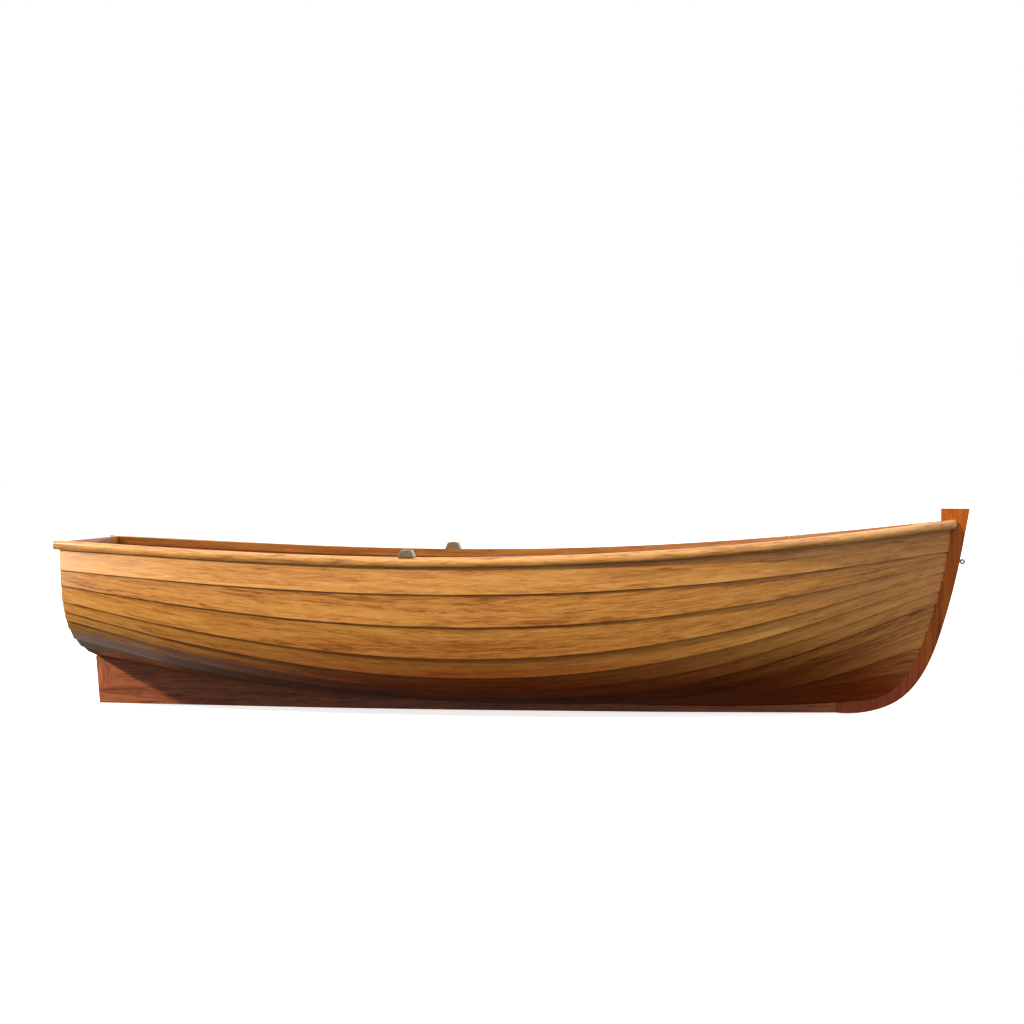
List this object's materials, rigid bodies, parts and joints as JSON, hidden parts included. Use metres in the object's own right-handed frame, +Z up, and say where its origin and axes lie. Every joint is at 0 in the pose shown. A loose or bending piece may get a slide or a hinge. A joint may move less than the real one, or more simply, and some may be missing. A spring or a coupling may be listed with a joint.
{
  "type": "clinker sailing dinghy hull",
  "caption": "Varnished clinker-planked sailing dinghy hull with thwarts, rails, skeg keel and a swinging centreboard in its case.",
  "frame": {"origin": "on the centreline amidships, in the plane of the light waterline", "axes": "+X towards the bow, +Y to port, +Z up"},
  "size_m": [3.6866, 1.4356, 0.842],
  "materials": {
    "planking": "clear varnish over golden brown planks",
    "stem": "clear varnish over orange brown hardwood",
    "keel": "clear varnish over reddish hardwood",
    "transom": "clear varnish",
    "rail": "clear varnish, glossy",
    "timbers": "clear varnish over pale steamed timbers",
    "seats": "clear varnish",
    "steel": "galvanised plate",
    "brass": "satin bronze castings"
  },
  "bodies": {
    "hull": {"apron": "stem", "bottom_boards": "seats", "bow_eye": "brass", "breasthook": "transom", "case_cap": "seats", "case_posts": "seats", "case_side_port": "seats", "case_side_starboard": "seats", "centre_thwart": "seats", "centre_thwart_knees": "transom", "deadwood": "keel", "gudgeon_lower": "brass", "gudgeon_upper": "brass", "hog": "keel", "inwale_port": "rail", "inwale_starboard": "rail", "keel": "keel", "mast_step": "seats", "mast_thwart": "seats", "mast_thwart_knees": "transom", "outwale_port": "rail", "outwale_starboard": "rail", "pivot_bolt": "brass", "quarter_knee_port": "transom", "quarter_knee_starboard": "transom", "rising_port": "timbers", "rising_starboard": "timbers", "rowlock_pad_port": "brass", "rowlock_pad_starboard": "brass", "rowlock_socket_port": "brass", "rowlock_socket_starboard": "brass", "stem": "stem", "stern_bench": "seats", "sternpost": "keel", "strake_01_port": "planking", "strake_01_starboard": "planking", "strake_02_port": "planking", "strake_02_starboard": "planking", "strake_03_port": "planking", "strake_03_starboard": "planking", "strake_04_port": "planking", "strake_04_starboard": "planking", "strake_05_port": "planking", "strake_05_starboard": "planking", "strake_06_port": "planking", "strake_06_starboard": "planking", "strake_07_port": "planking", "strake_07_starboard": "planking", "strake_08_port": "planking", "strake_08_starboard": "planking", "strake_09_port": "planking", "strake_09_starboard": "planking", "strake_10_port": "planking", "strake_10_starboard": "planking", "timbers_port": "timbers", "timbers_starboard": "timbers", "transom": "transom"},
    "centreboard": {"centreboard": "steel"}
  },
  "joints": [
    {"name": "centreboard_pivot", "type": "hinge", "parent": "hull", "child": "centreboard", "pos_m": [0.64, 0, -0.016], "axis": [0, -1, 0], "range_deg": [0, 60]}
  ]
}
